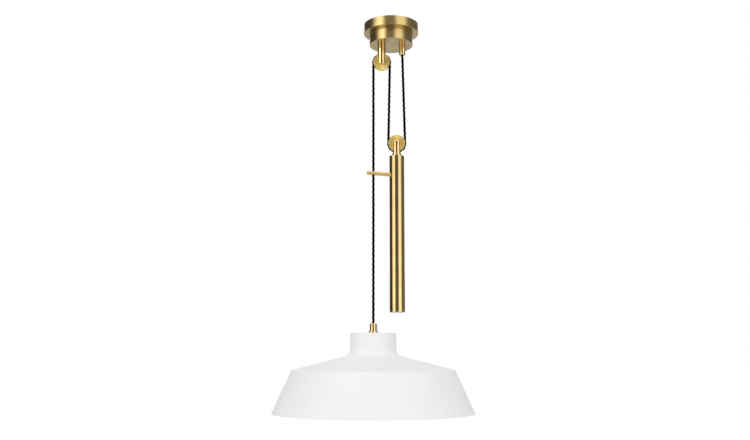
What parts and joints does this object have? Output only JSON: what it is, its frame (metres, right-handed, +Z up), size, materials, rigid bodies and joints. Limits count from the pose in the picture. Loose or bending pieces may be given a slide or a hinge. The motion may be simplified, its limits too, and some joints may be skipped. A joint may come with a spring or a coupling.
{
  "type": "rise and fall pendant",
  "caption": "Rise and fall pendant: a white two-cone shade on twisted flex, balanced over two sheaves by a slim brass counterweight with a guide arm, under a two-tier brass ceiling rose.",
  "frame": {"origin": "centre of the ceiling rose, on the ceiling; the whole part hangs below it", "axes": "+Z up, normal to the ceiling; the sheaves and all the flex lie in the XZ plane, with the shade towards -X; the usual view is along +Y"},
  "size_m": [0.418, 0.4178, 0.837],
  "materials": {
    "satin_brass": "satin",
    "gold_sheave": "satin",
    "bronze": "satin",
    "steel": "satin",
    "white_shade": "matte",
    "black_flex": "matte",
    "core_insulation": "matte",
    "black_plastic": "matte",
    "ceramic": "satin",
    "natural_plastic": "satin",
    "packing_rubber": "matte"
  },
  "bodies": {
    "ceiling_rose": {"ceiling_bracket": "steel", "rose_upper_tier": "satin_brass", "rose_lower_tier": "satin_brass", "rose_joint_screws": "steel", "rose_side_screws": "steel", "terminal_block": "natural_plastic", "terminal_screws": "steel", "terminal_fixing_screw": "steel", "earth_screw": "steel", "rose_wires": "core_insulation", "upper_fork": "satin_brass", "upper_fork_washer": "steel", "upper_fork_nut": "steel", "upper_axle_pin": "satin_brass", "rose_gland": "satin_brass", "rose_gland_washer": "steel", "rose_gland_nut": "steel", "rose_gland_grub": "steel", "flex_drop": "black_flex", "flex_loop": "black_flex"},
    "upper_wheel": {"upper_sheave": "gold_sheave", "upper_bush": "bronze"},
    "counterweight": {"weight_tube": "satin_brass", "weight_top_plug": "satin_brass", "weight_bottom_plug": "satin_brass", "weight_ballast": "steel", "weight_packing": "packing_rubber", "lower_fork": "satin_brass", "lower_axle_pin": "satin_brass", "guide_arm": "satin_brass"},
    "lower_wheel": {"lower_sheave": "gold_sheave", "lower_bush": "bronze"},
    "shade_assembly": {"shade": "white_shade", "shade_gland": "satin_brass", "shade_gland_grub": "steel", "nipple": "steel", "strengthening_plate": "steel", "nipple_nut": "steel", "lampholder_cap": "black_plastic", "lampholder_skirt": "black_plastic", "lampholder_insert": "ceramic", "screw_shell": "bronze", "centre_contact": "bronze", "shade_wires": "core_insulation"}
  },
  "joints": [
    {"name": "shade_drop", "type": "slide", "parent": "ceiling_rose", "child": "shade_assembly", "axis": [0, 0, -1], "range_m": [-0.024, 0.24], "deforming": ["flex_drop"]},
    {"name": "weight_rise", "type": "slide", "parent": "ceiling_rose", "child": "counterweight", "axis": [0, 0, 1], "range_m": [-0.0121, 0.1201], "deforming": ["flex_loop"]},
    {"name": "upper_sheave_turn", "type": "hinge", "parent": "ceiling_rose", "child": "upper_wheel", "pos_m": [-0.021, 0, -0.0845], "axis": [0, -1, 0], "range_deg": [-80, 770]},
    {"name": "lower_sheave_turn", "type": "hinge", "parent": "counterweight", "child": "lower_wheel", "pos_m": [0.0115, 0, -0.2675], "axis": [0, 1, 0], "range_deg": [-40, 385]}
  ],
  "couplings": [
    {"joint": "weight_rise", "follows": "shade_drop", "ratio": 0.5},
    {"joint": "upper_sheave_turn", "follows": "shade_drop", "rad_per_m": 55.556},
    {"joint": "lower_sheave_turn", "follows": "shade_drop", "rad_per_m": 27.778}
  ]
}
